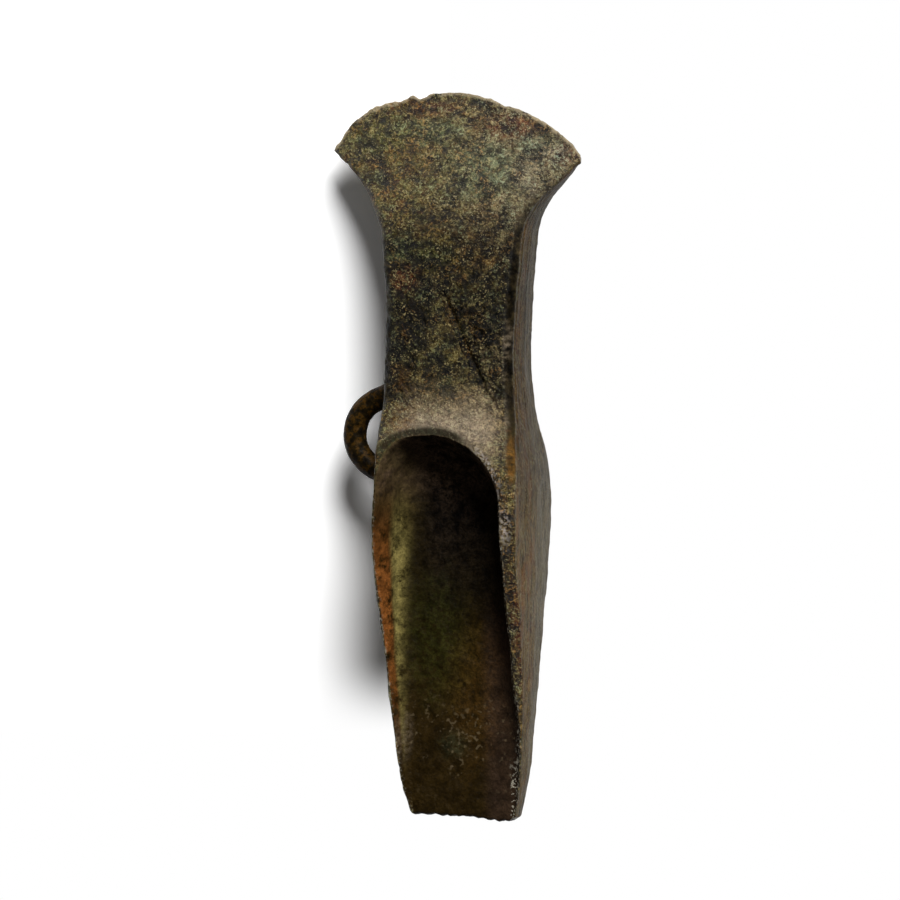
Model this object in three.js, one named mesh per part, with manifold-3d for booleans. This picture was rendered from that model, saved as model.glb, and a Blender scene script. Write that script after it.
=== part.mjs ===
// Looped palstave axe head, a single bronze casting, in millimetres.
// X runs across the blade with the loop on the -X side, +Y runs from the butt to the cutting edge and
// +Z goes up through the thickness. The origin is below the middle of the head, level with the crests
// of the lower flanges, which it rests on. The two faces of the casting are alike.
import * as THREE from 'three';
import { mergeVertices } from 'three/addons/utils/BufferGeometryUtils.js';
import Module from 'manifold-3d';

const wasm = await Module();
wasm.setup();

// Lengths of the head's stretches, from the butt end to the middle of the cutting edge
const haftLength = 69;
const crestFlatLength = 6;
const collarLength = 17;
const waistLength = 36;
const bladeLength = 32;

// Thickness over the crests, at the butt, at the stop and down the blade
const buttThickness = 5.2;
const midHaftThickness = 15.4;
const stopThickness = 31;
const collarFootThickness = 19.4;
const waistThickness = 18.2;
const bladeRootThickness = 15;
const bevelThickness = 3.2;
const edgeThickness = 0.8;

// Width over the crests, and where the blade's sides sweep out to the tips
const buttWidth = 24.4;
const shoulderWidth = 26.8;
const midHaftWidth = 31.2;
const stopWidth = 32.8;
const waistWidth = 27.6;
const bladeRootWidth = 30.4;
const flareWidth = 37.8;
const hookWidth = 50.4;
const tipWidth = 56.6;
const shoulderLength = 5;
const flareLength = 9.5;
const hookLength = 3.2;

// Cutting edge: how far its middle stands past the tips, and the bevel behind it
const edgeRise = 14.5;
const bevelLength = 6;

// Slots for the two prongs of the haft, one on each face, with a wide crest on their right and a
// narrow one on their left. The arch that ends a slot is highest left of the head's middle.
const septumThickness = 4.6;
const slotFillet = 3.5;
const rightCrestAtButt = 0.8;
const rightCrestAtMidHaft = 2.6;
const rightCrestAtStop = 4.1;
const leftCrestWidth = 0.9;
const archDepth = 17.2;
const archMiddle = -3.5;

// Raised triangle under the collar, with a hollow on each side
const triangleLength = 22.7;
const triangleMargin = 4.8;
const triangleApexWidth = 0.8;
const triangleFootWidth = 1.2;
const hollowDepth = 1.3;
const hollowFadeLength = 8;

// Crest edges
const crestChamfer = 0.4;

// Side loop, cast on the left side at mid thickness
const loopPlace = 85;
const loopReach = 8.6;
const loopSpan = 16.8;
const loopThickness = 5.3;
const loopHeight = 5;
const loopRootDepth = 3;
const loopStub = 0.3;

// How far the front region reaches past the collar's foot
const bladeJoinLength = 4;

// How far a cutting shape runs past what it cuts, and the length of edge that a cut may close up
const overrun = 5;
const weldDistance = 0.01;

// Shares: slopes of the walls, places along a stretch, and places across a strip of the face
const wallSlopeShare = 0.3;
const archSlopeShare = 0.45;
const filletLimitShare = 0.8;
const narrowCrestShare = 0.25;
const rightArchPower = 1.75;
const leftArchPower = 3.5;
const sideDraftShare = 0.045;
const waistPlaceShare = 0.32;
const bowStartShare = 0.7;
const stopWidthShare = 0.94;
const chamferLimitShare = 0.4;
const footLimitShare = 0.35;
const floorShares = [0.19, 0.38, 0.57, 0.76, 0.95];
const hollowShares = [0.25, 0.5, 0.75];

// Counts of rings along each stretch and of steps round the curves
const haftRings = 11;
const collarRings = 6;
const waistRings = 9;
const bladeRings = 9;
const bevelRings = 2;
const slotWallSteps = 8;
const archSteps = 8;
const loopSteps = 30;
const loopPathPoints = 12;
const loopSides = 6;

// Places along the head, measured from the butt end
const crestStart = haftLength;
const crestEnd = crestStart + crestFlatLength;
const collarFoot = crestEnd + collarLength;
const waistEnd = collarFoot + waistLength;
const length = waistEnd + bladeLength;
const bevelStart = length - bevelLength;
const tipPlace = length - edgeRise;
const flarePlace = tipPlace - flareLength;
const hookPlace = tipPlace - hookLength;
const bowStart = collarFoot + waistLength * bowStartShare;
const waistPlace = collarFoot + waistLength * waistPlaceShare;
const triangleApex = collarFoot + triangleLength;
const bladeJoin = collarFoot + bladeJoinLength;
const archSpring = crestStart;
const edgeRadius = ((tipWidth / 2) ** 2 + edgeRise ** 2) / (2 * edgeRise);

// A smooth curve through [place, size] pairs that never swings past them
function curveThrough(keys) {
  const steps = keys.slice(1).map(([place, size], i) => (size - keys[i][1]) / (place - keys[i][0]));
  const slopes = keys.map((key, i) => {
    const before = steps[Math.max(i - 1, 0)];
    const after = steps[Math.min(i, steps.length - 1)];
    return before * after > 0 ? (2 * before * after) / (before + after) : 0;
  });
  return (place) => {
    const passed = keys.filter(([start]) => start <= place).length - 1;
    const i = THREE.MathUtils.clamp(passed, 0, keys.length - 2);
    const [start, low] = keys[i];
    const [end, high] = keys[i + 1];
    const span = end - start;
    const t = THREE.MathUtils.clamp((place - start) / span, 0, 1);
    const ease = t * t * (3 - 2 * t);
    const leave = t * (1 - t) * (1 - t);
    const arrive = t * t * (t - 1);
    return low + (high - low) * ease + span * (slopes[i] * leave + slopes[i + 1] * arrive);
  };
}

const crestKeys = [
  [0, buttThickness / 2],
  [haftLength / 2, midHaftThickness / 2],
  [crestStart, stopThickness / 2],
  [crestEnd, stopThickness / 2],
  [collarFoot, collarFootThickness / 2],
  [waistPlace, waistThickness / 2],
  [waistEnd, bladeRootThickness / 2],
];
const midThickness = curveThrough([
  ...crestKeys,
  [bevelStart, bevelThickness / 2],
  [length, edgeThickness / 2],
]);
const sideThickness = curveThrough([...crestKeys, [tipPlace, edgeThickness / 2]]);
const halfWidth = curveThrough([
  [0, buttWidth / 2],
  [shoulderLength, shoulderWidth / 2],
  [haftLength / 2, midHaftWidth / 2],
  [haftLength * stopWidthShare, stopWidth / 2],
  [waistPlace, waistWidth / 2],
  [waistEnd, bladeRootWidth / 2],
  [flarePlace, flareWidth / 2],
  [hookPlace, hookWidth / 2],
  [tipPlace, tipWidth / 2],
]);

// Half width of the raised triangle, which is as wide as the face allows under the collar
function triangleHalfWidth(place) {
  const base = halfWidth(collarFoot) - triangleMargin;
  const narrowed = THREE.MathUtils.clamp((place - collarFoot) / triangleLength, 0, 1);
  const half = THREE.MathUtils.lerp(base, triangleApexWidth / 2, narrowed);
  return half * Math.min(1, halfWidth(place) / halfWidth(collarFoot));
}

// Depth of the hollows beside the triangle
const hollowAt = curveThrough([
  [collarFoot - hollowFadeLength, 0],
  [collarFoot, hollowDepth / 2],
  [collarFoot + hollowFadeLength, hollowDepth],
  [triangleApex, hollowDepth / 2],
  [triangleApex + hollowFadeLength, 0],
]);

const rightCrestWidth = curveThrough([
  [0, rightCrestAtButt],
  [haftLength * narrowCrestShare, rightCrestAtButt],
  [haftLength / 2, rightCrestAtMidHaft],
  [crestStart, rightCrestAtStop],
]);

// Height of a slot's walls over the septum
function wallHeight(place) {
  return sideThickness(Math.min(place, archSpring)) - septumThickness / 2;
}

// Radius of the rounding at the foot of a slot's walls
function filletRadius(place) {
  return Math.min(slotFillet, wallHeight(place) * filletLimitShare);
}

// Distance of a slot's right or left wall from the middle of the head, at a height over the septum
function slotWall(side, place, height, inset) {
  const crestWidth = side > 0 ? rightCrestWidth(place) : leftCrestWidth;
  return halfWidth(place) - crestWidth - (wallHeight(place) - height) * wallSlopeShare - inset;
}

// Places of the edges across half of a face: over the slot's floor, or beside the triangle and its hollow
function facePlaces(sidePlace, crest) {
  if (sidePlace < crestEnd) {
    const foot = slotWall(1, sidePlace, 0, filletRadius(sidePlace));
    return floorShares.map((share) => share * foot);
  }
  const inner = triangleHalfWidth(sidePlace);
  const foot = inner + Math.min(triangleFootWidth, (crest - inner) * footLimitShare);
  return [inner, foot, ...hollowShares.map((share) => THREE.MathUtils.lerp(foot, crest, share))];
}

// Half of one face's section, from the middle out to the seam: pairs of x and height
function sectionAt(sidePlace, middle, side) {
  const half = halfWidth(sidePlace);
  const crest = half - Math.min(crestChamfer, side * chamferLimitShare);
  const [inner, ...outer] = facePlaces(sidePlace, crest);
  const level = (x) => THREE.MathUtils.lerp(middle, side, (x / crest) ** 2);
  const dip = (x) => hollowAt(sidePlace) * ((crest - x) / (crest - inner));
  return [
    [0, middle],
    [inner, level(inner)],
    ...outer.map((x) => [x, level(x) - dip(x)]),
    [crest, side],
    [half, side - (half - crest)],
    [half + (side * sideDraftShare) / 2, side / 2],
    [half + side * sideDraftShare, 0],
  ];
}

// One ring round the casting: matching rows of points on the upper and the lower face, right to left
function ringAt(place) {
  const bow = Math.max(0, (place - bowStart) / (length - bowStart));
  const sidePlace = bow > 0 ? THREE.MathUtils.lerp(bowStart, tipPlace, bow) : place;
  const half = halfWidth(sidePlace);
  const section = sectionAt(sidePlace, midThickness(place), sideThickness(sidePlace));
  const across = [...section.slice(1).reverse(), ...section.map(([x, height]) => [-x, height])];
  const arcDrop = (x) => edgeRadius - Math.sqrt(edgeRadius ** 2 - x ** 2);
  const row = (face) => across.map(([x, height]) => {
    const share = Math.min(1, Math.abs(x) / half);
    const drop = arcDrop((share * tipWidth) / 2) / edgeRise;
    return new THREE.Vector3(x, THREE.MathUtils.lerp(place, sidePlace, drop), face * height);
  });
  return { upper: row(1), lower: row(-1) };
}

// Adds the two triangles of a four-sided face, leaving out one whose corners meet
function addFace(triangles, corners) {
  const [a, b, c, d] = corners;
  [[a, b, c], [a, c, d]].forEach((triangle) => {
    const [p, q, r] = triangle;
    if (!p.equals(q) && !q.equals(r) && !r.equals(p)) triangles.push(...triangle);
  });
}

function geometryFrom(triangles) {
  return new THREE.BufferGeometry().setFromPoints(triangles);
}

// The outside of the casting, with neither slots nor loop
function outerBody() {
  const spread = (start, end, count) => Array.from(
    { length: count },
    (_, i) => THREE.MathUtils.lerp(start, end, i / count),
  );
  const places = [
    ...spread(0, crestStart, haftRings),
    ...spread(crestStart, crestEnd, 1),
    ...spread(crestEnd, collarFoot, collarRings),
    ...spread(collarFoot, waistEnd, waistRings),
    ...spread(waistEnd, bevelStart, bladeRings),
    ...spread(bevelStart, length, bevelRings),
    length,
  ];
  const rings = places.map(ringAt);
  const triangles = [];
  rings.slice(1).forEach((front, i) => {
    const back = rings[i];
    front.upper.slice(1).forEach((corner, j) => {
      addFace(triangles, [back.upper[j], front.upper[j], corner, back.upper[j + 1]]);
      addFace(triangles, [back.lower[j], back.lower[j + 1], front.lower[j + 1], front.lower[j]]);
    });
  });
  const butt = rings[0];
  const edge = rings[rings.length - 1];
  butt.upper.slice(1).forEach((corner, j) => {
    addFace(triangles, [butt.upper[j], corner, butt.lower[j + 1], butt.lower[j]]);
    addFace(triangles, [edge.upper[j], edge.lower[j], edge.lower[j + 1], edge.upper[j + 1]]);
  });
  return geometryFrom(triangles);
}

// Right or left half of a slot's outline, from the butt to the top of its arch. The level gives the
// height over the septum and the inset at the wall's rounded foot, from the radius of the rounding.
function slotOutline(side, level) {
  const wall = Array.from({ length: slotWallSteps }, (_, i) => {
    const along = (archSpring * i) / slotWallSteps;
    const [height, inset] = level(filletRadius(along));
    return [slotWall(side, along, height, inset), i ? along : -overrun, height];
  });
  const [height, inset] = level(filletRadius(archSpring));
  const depth = archDepth - (wallHeight(archSpring) - height) * archSlopeShare - inset;
  const middle = side * archMiddle;
  const across = slotWall(side, archSpring, height, inset) - middle;
  const power = side > 0 ? rightArchPower : leftArchPower;
  const arch = Array.from({ length: archSteps + 1 }, (_, i) => {
    const angle = (Math.PI / 2) * (i / archSteps);
    const sideways = i < archSteps ? Math.cos(angle) ** (2 / power) : 0;
    const forward = Math.sin(angle) ** (2 / power);
    return [middle + across * sideways, archSpring + depth * forward, height];
  });
  return [...wall, ...arch].map(([x, place, z]) => new THREE.Vector3(side * x, place, z));
}

// The space of one slot, with a rounded foot, leaning walls and an arched end at the stop
function slotSpace(face) {
  const top = (stopThickness - septumThickness) / 2 + overrun;
  const slope = Math.SQRT1_2;
  const levels = [
    (radius) => [0, radius],
    (radius) => [radius * (1 - slope), radius * (1 - slope)],
    (radius) => [radius, 0],
    () => [top, 0],
  ];
  const row = (level, side) => slotOutline(side, level).map(
    ({ x, y, z }) => new THREE.Vector3(x, y, face * (septumThickness / 2 + z)),
  );
  const triangles = [];
  const add = (corners) => addFace(triangles, face > 0 ? corners : corners.reverse());
  levels.slice(1).forEach((above, i) => {
    const below = levels[i];
    const right = [row(below, 1), row(above, 1)];
    const left = [row(below, -1), row(above, -1)];
    for (let j = 1; j < right[0].length; j += 1) {
      add([right[0][j - 1], right[0][j], right[1][j], right[1][j - 1]]);
      add([left[0][j], left[0][j - 1], left[1][j - 1], left[1][j]]);
    }
    add([left[0][0], right[0][0], right[1][0], left[1][0]]);
  });
  const cap = (level, corners) => {
    const [right, left] = [row(level, 1), row(level, -1)];
    for (let j = 1; j < right.length; j += 1) add(corners(right, left, j));
  };
  cap(levels[0], (right, left, j) => [right[j - 1], left[j - 1], left[j], right[j]]);
  cap(levels[levels.length - 1], (right, left, j) => [right[j - 1], right[j], left[j], left[j - 1]]);
  return geometryFrom(triangles);
}

// The loop's bow and its roots, which end inside the casting
function loopTube() {
  const side = -halfWidth(loopPlace);
  const points = Array.from({ length: loopPathPoints + 1 }, (_, i) => {
    const angle = Math.PI * (i / loopPathPoints - 1 / 2);
    const reach = loopReach * Math.cos(angle);
    return new THREE.Vector3(side - reach, loopPlace + (loopSpan / 2) * Math.sin(angle), 0);
  });
  const root = (place) => new THREE.Vector3(side + loopRootDepth, place, 0);
  const path = new THREE.CatmullRomCurve3([
    root(loopPlace - loopSpan / 2),
    ...points,
    root(loopPlace + loopSpan / 2),
  ]);
  const section = new THREE.Shape();
  section.absellipse(0, 0, loopHeight / 2, loopThickness / 2, 0, 2 * Math.PI);
  return new THREE.ExtrudeGeometry(section, {
    steps: loopSteps,
    curveSegments: loopSides,
    extrudePath: path,
    bevelEnabled: false,
  });
}

// A block between two corners, given as x and place along the head, taller than the casting
function block([lowX, lowPlace], [highX, highPlace]) {
  const box = new THREE.BoxGeometry(highX - lowX, highPlace - lowPlace, stopThickness + 2 * overrun);
  return box.translate((lowX + highX) / 2, (lowPlace + highPlace) / 2, 0);
}

function solid(geometry) {
  const bare = new THREE.BufferGeometry();
  bare.setAttribute('position', geometry.getAttribute('position'));
  bare.setIndex(geometry.getIndex());
  const welded = mergeVertices(bare);
  return new wasm.Manifold(new wasm.Mesh({
    numProp: 3,
    vertProperties: new Float32Array(welded.getAttribute('position').array),
    triVerts: new Uint32Array(welded.getIndex().array),
    tolerance: weldDistance,
  }));
}

// The whole casting, which the regions below are parts of
const casting = solid(outerBody())
  .subtract(solid(slotSpace(1)))
  .subtract(solid(slotSpace(-1)))
  .add(solid(loopTube()));

// One region of the casting, between two corners given as x and place along the head
function region(name, low, high, colour) {
  const { numProp, vertProperties, triVerts } = casting.intersect(solid(block(low, high))).getMesh();
  const geometry = new THREE.BufferGeometry();
  geometry.setAttribute('position', new THREE.BufferAttribute(vertProperties, numProp));
  geometry.setIndex(new THREE.BufferAttribute(triVerts, 1));
  geometry.computeVertexNormals();
  const material = new THREE.MeshStandardMaterial({ color: colour, roughness: 0.5, metalness: 0.5 });
  const mesh = new THREE.Mesh(geometry, material);
  mesh.name = name;
  return mesh;
}

// The planes where regions meet: past the tips, just outside the side under the loop, and on the septum
const reach = Math.max(tipWidth, stopWidth) / 2 + loopReach + loopThickness + overrun;
const loopJoin = -(stopWidth / 2) - (stopThickness / 2) * sideDraftShare - loopStub;
const septumLeft = -slotWall(-1, archSpring, 0, slotFillet / 2);
const septumRight = slotWall(1, archSpring, 0, slotFillet / 2);

const head = new THREE.Group();
head.name = 'palstave';
head.position.set(0, -length / 2, stopThickness / 2);
head.add(
  region('blade', [-reach, bladeJoin], [reach, length + overrun], '#665c40'),
  region('stop_ridge', [loopJoin, archSpring], [reach, bladeJoin], '#5f563d'),
  region('septum', [septumLeft, -overrun], [septumRight, archSpring], '#3c3319'),
  region('left_flange', [-reach, -overrun], [septumLeft, archSpring], '#54451f'),
  region('right_flange', [septumRight, -overrun], [reach, archSpring], '#5a5039'),
  region('side_loop', [-reach, archSpring], [loopJoin, bladeJoin], '#3a2e1f'),
);

export default head;
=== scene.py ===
import math
import bpy
import numpy as np
from mathutils import Matrix, Vector


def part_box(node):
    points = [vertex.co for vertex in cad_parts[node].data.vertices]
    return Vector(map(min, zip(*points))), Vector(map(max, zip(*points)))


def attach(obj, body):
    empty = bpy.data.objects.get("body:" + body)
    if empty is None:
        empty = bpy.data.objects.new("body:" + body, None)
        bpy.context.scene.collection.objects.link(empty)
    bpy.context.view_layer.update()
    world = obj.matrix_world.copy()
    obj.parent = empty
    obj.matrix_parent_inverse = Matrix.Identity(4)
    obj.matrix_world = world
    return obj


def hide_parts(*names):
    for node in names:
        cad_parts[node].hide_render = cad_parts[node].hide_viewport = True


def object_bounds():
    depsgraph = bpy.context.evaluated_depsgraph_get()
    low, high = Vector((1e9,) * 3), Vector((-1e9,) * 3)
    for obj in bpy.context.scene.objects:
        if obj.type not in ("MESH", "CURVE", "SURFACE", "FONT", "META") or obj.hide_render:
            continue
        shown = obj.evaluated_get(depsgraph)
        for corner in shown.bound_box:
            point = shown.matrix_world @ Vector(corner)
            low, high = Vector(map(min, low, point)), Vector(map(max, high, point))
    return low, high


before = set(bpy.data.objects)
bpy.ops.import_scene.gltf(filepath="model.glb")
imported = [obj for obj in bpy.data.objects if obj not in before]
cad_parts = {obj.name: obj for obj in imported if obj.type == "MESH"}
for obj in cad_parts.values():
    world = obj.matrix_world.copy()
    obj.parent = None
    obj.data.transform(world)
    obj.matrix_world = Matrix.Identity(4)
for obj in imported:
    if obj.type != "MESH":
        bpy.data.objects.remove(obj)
lowest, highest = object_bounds()

# Looped palstave axe head, in metres. The dressed casting follows the frame's solids and adds what
# casting, use and burial left on it. A place is a distance along the head from the butt end, and a
# height is measured from the middle plane.

# Taken from the frame
length = highest.y - lowest.y
stop_thickness = highest.z - lowest.z
crest_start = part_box("septum")[1].y - lowest.y
blade_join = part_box("blade")[0].y - lowest.y

# Lengths of the stretches beyond the haft
crest_flat_length = 0.006
arch_length = 0.018
collar_length = 0.017
waist_length = 0.036
bevel_length = 0.006
edge_rise = 0.0145
flare_length = 0.0095
hook_length = 0.0032
shoulder_length = 0.005

# Thickness over the crests and down the blade
butt_thickness = 0.0052
mid_haft_thickness = 0.0154
collar_foot_thickness = 0.0194
waist_thickness = 0.0182
blade_root_thickness = 0.015
bevel_thickness = 0.0032
edge_thickness = 0.0008

# Width over the crests
butt_width = 0.0244
shoulder_width = 0.0268
mid_haft_width = 0.0312
stop_width = 0.0328
waist_width = 0.0292
blade_root_width = 0.0322
flare_width = 0.0388
hook_width = 0.0504
tip_width = 0.0566

# Slots, with a wide crest on the right of them and a narrow one on the left
septum_thickness = 0.0046
slot_fillet = 0.0035
right_crest_at_butt = 0.0008
right_crest_at_mid_haft = 0.0026
right_crest_at_stop = 0.0041
left_crest_width = 0.0009
arch_depth = 0.0172
arch_middle = -0.0035

# Raised triangle and the hollows beside it
triangle_length = 0.0227
right_margin = 0.0067
left_margin = 0.0071
triangle_foot_middle = 0.0002
triangle_apex_middle = -0.0026
triangle_apex_width = 0.0008
right_foot_width = 0.0012
left_foot_width = 0.0034
hollow_depth = 0.0013
hollow_fade_length = 0.008

# Side loop
loop_place = 0.085
loop_reach = 0.0086
loop_span = 0.0168
loop_thickness = 0.0053
loop_height = 0.005
loop_root_depth = 0.0022
loop_swell_length = 0.003
loop_swell_overlap = 0.0005

# Rounding of the crests' outer edges
sharp_rounding = 0.0006
stop_rounding = 0.001
right_waist_rounding = 0.0024
left_waist_rounding = 0.002
right_blade_rounding = 0.0017
left_blade_rounding = 0.0015
stop_rounding_length = 0.02
waist_rounding_length = 0.004
blade_rounding_length = 0.006

# Shares
wall_slope_share = 0.3
arch_slope_share = 0.45
fillet_limit_share = 0.8
foot_limit_share = 0.5
rounding_limit_share = 0.8
loop_swell_share = 0.28
narrow_crest_share = 0.25
right_arch_power = 1.75
left_arch_power = 3.5
side_draft_share = 0.045
waist_place_share = 0.32
bow_start_share = 0.7
stop_width_share = 0.94

# Places along the head
crest_end = crest_start + crest_flat_length
arch_end = crest_start + arch_length
collar_foot = crest_end + collar_length
waist_place = collar_foot + waist_length * waist_place_share
waist_end = collar_foot + waist_length
bow_start = collar_foot + waist_length * bow_start_share
bevel_start = length - bevel_length
tip_place = length - edge_rise
triangle_apex = collar_foot + triangle_length
edge_radius = ((tip_width / 2) ** 2 + edge_rise**2) / (2 * edge_rise)

# Wear and corrosion
surface_sink = 0.0001
lip_width = 0.0022
lip_drop = 0.0005
lip_fade_length = 0.012
lip_rise_length = 0.004
wall_edge_blend = 0.0012

# Too small to matter
tiny = 1e-9
least_cross = 1e-12


def lerp(low, high, share):
    return low + (high - low) * share


def smooth(value, start, end):
    """0 before start, 1 after end and an eased rise between them. An end below start turns it round."""
    share = np.clip((value - start) / (end - start), 0, 1)
    return share * share * (3 - 2 * share)


def bump_at(value, centre, reach):
    """1 at the centre, easing to 0 at reach on both sides of it."""
    return smooth(np.abs(value - centre), reach, 0)


def within(value, start, full, fading, end):
    """1 from full to fading, easing to 0 at start and at end."""
    return smooth(value, start, full) * smooth(value, end, fading)


def soft_min(a, b, blend):
    """The lower of two heights, rounded where they are within blend of each other."""
    share = np.clip(0.5 + 0.5 * (b - a) / blend, 0, 1)
    return lerp(b, a, share) - blend * share * (1 - share)


def curve_through(keys):
    """A smooth curve through (place, size) pairs that never swings past them."""
    places, sizes = np.array(keys, float).T
    steps = np.diff(sizes) / np.diff(places)
    before = np.concatenate([steps[:1], steps])
    after = np.concatenate([steps, steps[-1:]])
    same_way = before * after > 0
    total = np.where(same_way, before + after, 1)
    slopes = np.where(same_way, 2 * before * after / total, 0)

    def curve(place):
        i = np.clip(np.searchsorted(places, place, side="right") - 1, 0, len(places) - 2)
        span = places[i + 1] - places[i]
        t = np.clip((place - places[i]) / span, 0, 1)
        ease = t * t * (3 - 2 * t)
        bend = slopes[i] * t * (1 - t) ** 2 + slopes[i + 1] * t * t * (t - 1)
        return lerp(sizes[i], sizes[i + 1], ease) + span * bend

    return curve


crest_keys = [
    (0, butt_thickness / 2),
    (crest_start / 2, mid_haft_thickness / 2),
    (crest_start, stop_thickness / 2),
    (crest_end, stop_thickness / 2),
    (collar_foot, collar_foot_thickness / 2),
    (waist_place, waist_thickness / 2),
    (waist_end, blade_root_thickness / 2),
]
mid_thickness = curve_through(
    [*crest_keys, (bevel_start, bevel_thickness / 2), (length, edge_thickness / 2)]
)
side_thickness = curve_through([*crest_keys, (tip_place, edge_thickness / 2)])
half_width = curve_through(
    [
        (0, butt_width / 2),
        (shoulder_length, shoulder_width / 2),
        (crest_start / 2, mid_haft_width / 2),
        (crest_start * stop_width_share, stop_width / 2),
        (waist_place, waist_width / 2),
        (waist_end, blade_root_width / 2),
        (tip_place - flare_length, flare_width / 2),
        (tip_place - hook_length, hook_width / 2),
        (tip_place, tip_width / 2),
    ]
)
right_crest_width = curve_through(
    [
        (0, right_crest_at_butt),
        (crest_start * narrow_crest_share, right_crest_at_butt),
        (crest_start / 2, right_crest_at_mid_haft),
        (crest_start, right_crest_at_stop),
    ]
)
hollow_at = curve_through(
    [
        (collar_foot - hollow_fade_length, 0),
        (collar_foot, hollow_depth / 2),
        (collar_foot + hollow_fade_length, hollow_depth),
        (triangle_apex, hollow_depth / 2),
        (triangle_apex + hollow_fade_length, 0),
    ]
)
right_rounding = curve_through(
    [
        (crest_start - stop_rounding_length, sharp_rounding),
        (crest_start, stop_rounding),
        (crest_end + waist_rounding_length, right_waist_rounding),
        (waist_place, right_waist_rounding),
        (waist_end + blade_rounding_length, right_blade_rounding),
        (tip_place - hook_length, sharp_rounding),
    ]
)
left_rounding = curve_through(
    [
        (crest_start + arch_depth, sharp_rounding),
        (collar_foot + waist_rounding_length, left_waist_rounding),
        (waist_end + blade_rounding_length, left_blade_rounding),
        (tip_place - hook_length, sharp_rounding),
    ]
)
triangle_middle = curve_through(
    [(collar_foot, triangle_foot_middle), (triangle_apex, triangle_apex_middle)]
)


def triangle_half_width(x, place):
    """Half width of the raised triangle, on the side of its middle that x is on."""
    base = half_width(collar_foot) - np.where(x > 0, right_margin, left_margin)
    narrowed = np.clip((place - collar_foot) / triangle_length, 0, 1)
    half = lerp(base, triangle_apex_width / 2, narrowed)
    return half * np.minimum(1, half_width(place) / half_width(collar_foot))


def outside_slot(x, place, height):
    """Distance outside a slot's outline at a height over the septum, below 0 inside it.

    It is exact along the walls and near enough round the arch.
    """
    along = np.minimum(place, crest_start)
    wall_height = side_thickness(along) - septum_thickness / 2
    radius = np.minimum(slot_fillet, wall_height * fillet_limit_share)
    fillet = radius - np.sqrt(radius**2 - np.clip(radius - height, 0, radius) ** 2)
    wall = half_width(along) - fillet - (wall_height - height) * wall_slope_share
    right = wall - right_crest_width(along)
    left = wall - left_crest_width
    depth = arch_depth - fillet - (wall_height - height) * arch_slope_share
    power = np.where(x > arch_middle, right_arch_power, left_arch_power)
    across = np.where(x > arch_middle, right - arch_middle, left + arch_middle)
    sideways = np.abs(x - arch_middle) / across + tiny
    forward = np.maximum(place - crest_start, 0) / depth
    ratio = (sideways**power + forward**power) ** (1 / power)
    steepness = np.hypot(sideways ** (power - 1) / across, forward ** (power - 1) / depth)
    round_arch = (ratio - 1) * ratio ** (power - 1) / steepness
    return np.where(place <= crest_start, np.maximum(x - right, -x - left), round_arch)


def slot_height(x, place):
    """Height over the septum at which the slot's wall stands above a point, by halving."""
    low = np.zeros_like(x)
    high = np.full_like(x, stop_thickness)
    for _ in range(halvings):
        middle = (low + high) / 2
        inside = outside_slot(x, place, middle) < 0
        high = np.where(inside, middle, high)
        low = np.where(inside, low, middle)
    return high


def face_height(x, place, side_place, crest):
    """Height of a face over the middle plane, with the slot, the collar, the triangle and its hollows."""
    middle = mid_thickness(place)
    side = side_thickness(side_place)
    across = np.abs(x)
    outer = lerp(middle, side, (across / crest) ** 2)
    beside = x - triangle_middle(side_place)
    inner = triangle_half_width(beside, side_place)
    foot_width = np.where(beside > 0, right_foot_width, left_foot_width)
    foot = inner + np.minimum(foot_width, (crest - inner) * foot_limit_share)
    slope = smooth(np.abs(beside), inner, foot)
    outer = outer - hollow_at(side_place) * slope * np.clip((crest - across) / (crest - inner), 0, 1)
    over_septum = np.maximum(outer - septum_thickness / 2, 0)
    beyond = outside_slot(x, place, over_septum)
    lip = smooth(beyond, lip_width, 0)
    lip *= smooth(place, crest_start - lip_fade_length, crest_start + lip_rise_length)
    outer = outer - lip_drop * lip * lip
    floor = septum_thickness / 2 + slot_height(x, place)
    return soft_min(outer, floor, wall_edge_blend)


# The grid over the casting: rings of points round it, at stations along it
halvings = 18
face_steps = 84
round_steps = 10
side_steps = 19
fine_steps = 700
haft_stations = 165
arch_stations = 80
collar_stations = 32
waist_stations = 78
blade_stations = 84
nose_stations = 8
butt_nose = 0.0014
edge_nose = 0.0005
first_nose_angle = 0.05
blade_stations_start = bow_start + 0.01


def spread(start, end, count):
    return np.linspace(start, end, count, endpoint=False)


def nose(reach, count):
    """Places and thickness shares of the rings that round off an end, from the end inwards."""
    angle = spread(0, math.pi / 2, count) + first_nose_angle
    return reach * (1 - np.cos(angle) ** 0.5), np.sin(angle) ** 0.5


butt_places, butt_shares = nose(butt_nose, nose_stations)
edge_places, edge_shares = nose(edge_nose, nose_stations)
body_places = np.concatenate(
    [
        spread(butt_nose, crest_start, haft_stations),
        spread(crest_start, arch_end, arch_stations),
        spread(arch_end, blade_join, collar_stations),
        spread(blade_join, blade_stations_start, waist_stations),
        np.linspace(blade_stations_start, length - edge_nose, blade_stations),
    ]
)
station_places = np.concatenate([butt_places, body_places, length - edge_places[::-1]])
station_shares = np.concatenate([butt_shares, np.ones(len(body_places)), edge_shares[::-1]])


def resampled(points, count):
    """Points along a polyline at even distances, its two ends included."""
    steps = np.hypot(*np.diff(points, axis=0).T)
    walked = np.concatenate([[0], np.cumsum(steps)])
    wanted = np.linspace(0, walked[-1], count)
    return np.stack([np.interp(wanted, walked, column) for column in points.T], axis=1)


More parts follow.
